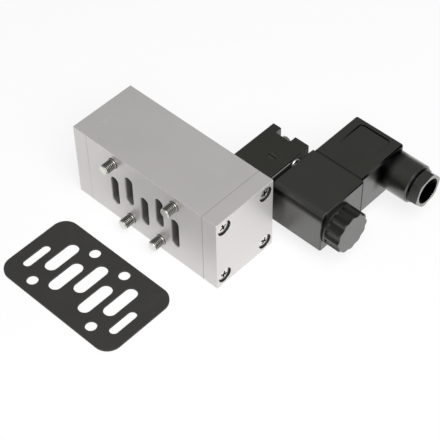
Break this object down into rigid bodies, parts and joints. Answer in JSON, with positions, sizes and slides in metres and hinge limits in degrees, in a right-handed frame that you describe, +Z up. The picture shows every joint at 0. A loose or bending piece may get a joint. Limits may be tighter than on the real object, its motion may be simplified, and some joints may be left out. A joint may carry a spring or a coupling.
{
  "type": "pneumatic solenoid valve",
  "caption": "Single solenoid valve for a sub-base: square aluminium block with a staggered port face, a pilot with a plug-in coil on its back, and its flat gasket beside it",
  "frame": {"origin": "centre of the port interface, on the port face", "axes": "+X along the spool towards the pilot end and the cable entry, +Y from the port face into the block and towards the pilot, +Z up as the valve lies on its side"},
  "size_m": [0.1249, 0.1532, 0.04],
  "materials": {
    "natural_aluminium": "fine milled, clear anodised",
    "zinc_steel": "bright zinc plated",
    "hard_aluminium": "hard anodised and ground",
    "acetal": "machined",
    "spring_steel": "drawn wire",
    "black_plastic": "moulded, satin",
    "gloss_black_plastic": "moulded, semi-gloss",
    "brass": "turned",
    "stainless_steel": "turned",
    "bright_steel": "plated sheet",
    "tinned_brass": "tin plated",
    "seal_rubber": "matt",
    "gasket_rubber": "matt, flat sheet"
  },
  "bodies": {
    "valve": {"valve_body": "natural_aluminium", "spring_end_cap": "natural_aluminium", "pilot_end_cap": "natural_aluminium", "cap_screws": "zinc_steel", "mounting_screws": "zinc_steel", "return_spring": "spring_steel", "pilot_base": "black_plastic", "base_screws": "zinc_steel", "nozzle": "brass", "armature_spring": "spring_steel", "armature_tube": "stainless_steel", "fixed_core": "stainless_steel", "clamp_plate": "bright_steel", "plate_screws": "zinc_steel", "coil_body": "black_plastic", "coil_blades": "tinned_brass", "nut_seal": "seal_rubber", "coil_nut": "black_plastic", "plug_seal": "seal_rubber", "plug_housing": "gloss_black_plastic", "plug_insert": "black_plastic", "plug_contacts": "tinned_brass", "plug_screw": "zinc_steel", "gland_grommet": "seal_rubber", "gland_nut": "gloss_black_plastic", "mounting_gasket": "gasket_rubber"},
    "spool_set": {"spool": "hard_aluminium", "pilot_piston": "acetal"},
    "armature_set": {"armature": "stainless_steel", "armature_seal": "seal_rubber"},
    "override": {"manual_override": "black_plastic"}
  },
  "joints": [
    {"name": "spool_shift", "type": "slide", "parent": "valve", "child": "spool_set", "axis": [-1, 0, 0], "range_m": [0, 0.004], "stiffness_N_per_m": 1500, "springref_m": -0.004, "deforming": ["return_spring"]},
    {"name": "armature_pull", "type": "slide", "parent": "valve", "child": "armature_set", "axis": [1, 0, 0], "range_m": [0, 0.0008], "stiffness_N_per_m": 600, "springref_m": -0.002, "deforming": ["armature_spring"]},
    {"name": "override_turn", "type": "hinge", "parent": "valve", "child": "override", "pos_m": [0.0269, 0.051, 0.0107], "axis": [0, 0, 1], "range_deg": [0, 90]}
  ]
}
